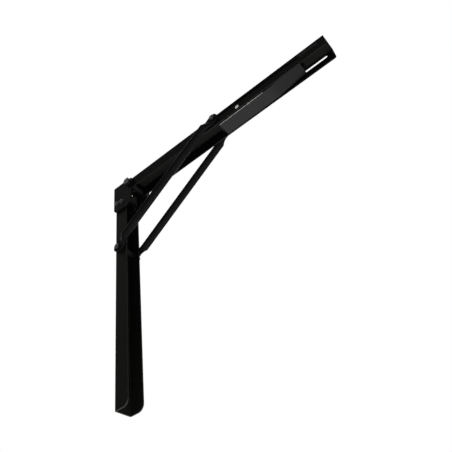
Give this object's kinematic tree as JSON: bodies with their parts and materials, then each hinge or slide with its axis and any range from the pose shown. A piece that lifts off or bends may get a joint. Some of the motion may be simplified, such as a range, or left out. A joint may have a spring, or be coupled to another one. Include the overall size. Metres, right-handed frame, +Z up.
{
  "type": "folding shelf bracket",
  "caption": "Folding shelf bracket: a channel arm hinged to a wall rail, braced by a pair of round struts on a sliding cross pin held by a rocking lock lever.",
  "frame": {"origin": "centre of the middle wall screw hole, on the back face of the wall rail", "axes": "+X away from the wall along the open arm, +Y across the bracket, +Z up the wall; the arm is open and level"},
  "size_m": [0.3442, 0.045, 0.3264],
  "materials": {
    "rail_paint": "satin powder coat",
    "arm_paint": "satin powder coat",
    "plate_paint": "satin powder coat",
    "strut_paint": "semi-gloss powder coat",
    "lever_paint": "semi-gloss coat",
    "bolt_steel": "black zinc plate",
    "rivet_steel": "black zinc plate",
    "pin_steel": "bare turned steel",
    "spring_steel": "drawn spring wire"
  },
  "bodies": {
    "rail": {"wall_rail": "rail_paint", "hinge_plate_right": "plate_paint", "hinge_plate_left": "plate_paint", "hinge_shim_right": "plate_paint", "hinge_shim_left": "plate_paint", "plate_rivets_right": "rivet_steel", "plate_rivets_left": "rivet_steel", "arm_pivot_bolt": "bolt_steel", "arm_pivot_nut": "bolt_steel", "strut_foot_bolt": "bolt_steel", "strut_foot_nut": "bolt_steel", "strut_foot_sleeve": "pin_steel", "strut_foot_washer_right": "bolt_steel", "strut_foot_washer_left": "bolt_steel"},
    "arm": {"arm_channel": "arm_paint", "arm_pivot_sleeve": "pin_steel", "lever_rivet": "rivet_steel"},
    "struts": {"strut_right": "strut_paint", "strut_left": "strut_paint", "strut_head_screw_right": "bolt_steel", "strut_head_screw_left": "bolt_steel"},
    "pin": {"cross_pin": "pin_steel"},
    "lever": {"lock_lever": "lever_paint", "lever_spring": "spring_steel"}
  },
  "joints": [
    {"name": "arm_fold", "type": "hinge", "parent": "rail", "child": "arm", "pos_m": [0.0288, 0, 0.1662], "axis": [0, 1, 0], "range_deg": [0, 90]},
    {"name": "strut_fold", "type": "hinge", "parent": "rail", "child": "struts", "pos_m": [0.0083, 0, 0.0622], "axis": [0, 1, 0], "range_deg": [0, 115.4]},
    {"name": "pin_slide", "type": "slide", "parent": "arm", "child": "pin", "axis": [1, 0, 0], "range_m": [0, 0.1541]},
    {"name": "lever_rock", "type": "hinge", "parent": "arm", "child": "lever", "pos_m": [0.2147, 0, 0.1615], "axis": [0, -1, 0], "range_deg": [0, 4.5], "stiffness_Nm_per_rad": 0.5, "springref_deg": -5.73}
  ],
  "couplings": [
    {"joint": "strut_fold", "follows": "arm_fold", "ratio": 1.2821},
    {"joint": "pin_slide", "follows": "arm_fold", "m_per_rad": 0.09809}
  ]
}
